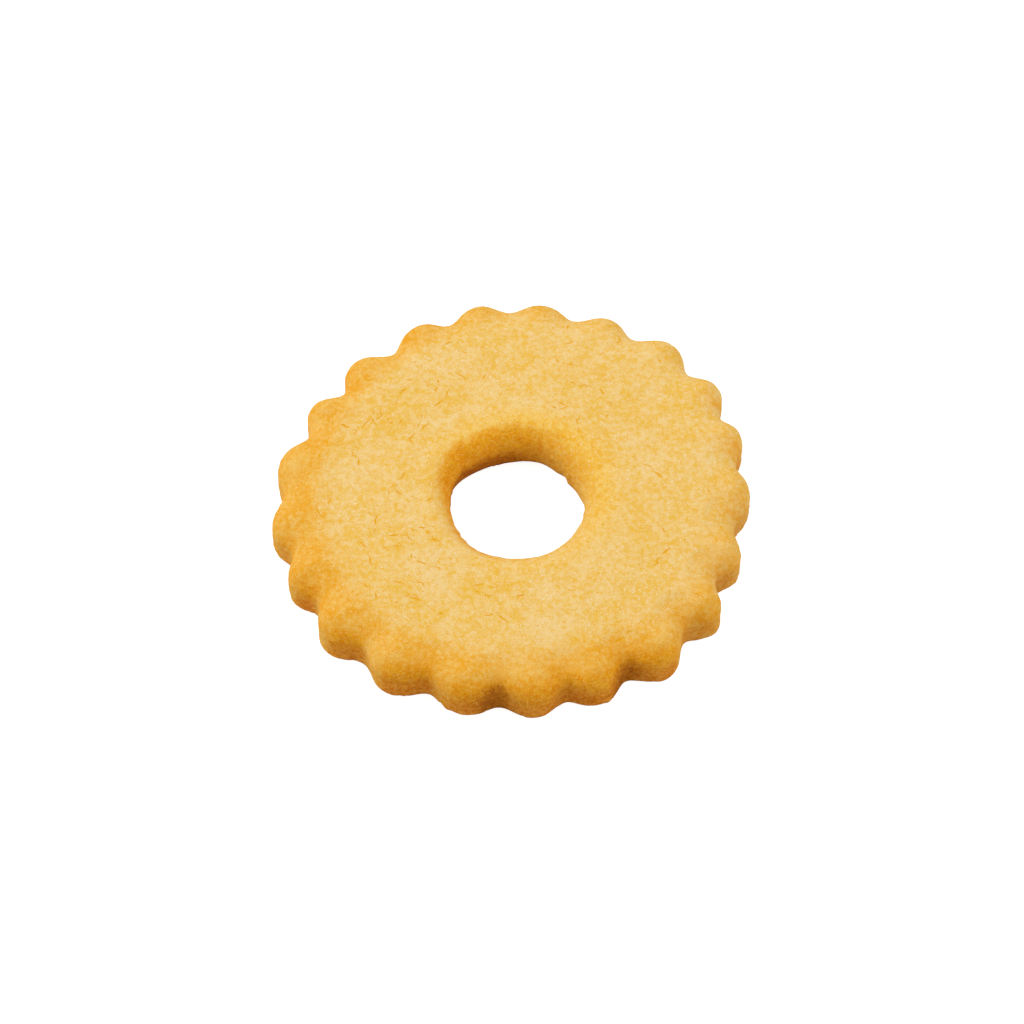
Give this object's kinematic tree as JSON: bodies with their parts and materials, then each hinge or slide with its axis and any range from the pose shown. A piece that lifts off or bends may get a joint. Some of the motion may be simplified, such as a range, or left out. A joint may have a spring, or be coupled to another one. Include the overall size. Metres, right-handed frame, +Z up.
{
  "type": "flower shortbread cookie",
  "caption": "Flat ring of baked shortbread dough with a fluted, petal-like rim, softly rounded edges and a round hole through the middle, eaten as a biscuit.",
  "frame": {"origin": "middle of the flat base, centred on the rim's outer box", "axes": "+Z up out of the top face; -Y towards the side that the picture was taken from, +X to its right"},
  "size_m": [0.0644, 0.0644, 0.007],
  "materials": {
    "baked_dough": "matte, crumbly baked dough, pale golden on top and toasted brown at the petals and down the walls"
  },
  "bodies": {
    "root": {"cookie": "baked_dough"}
  },
  "joints": []
}
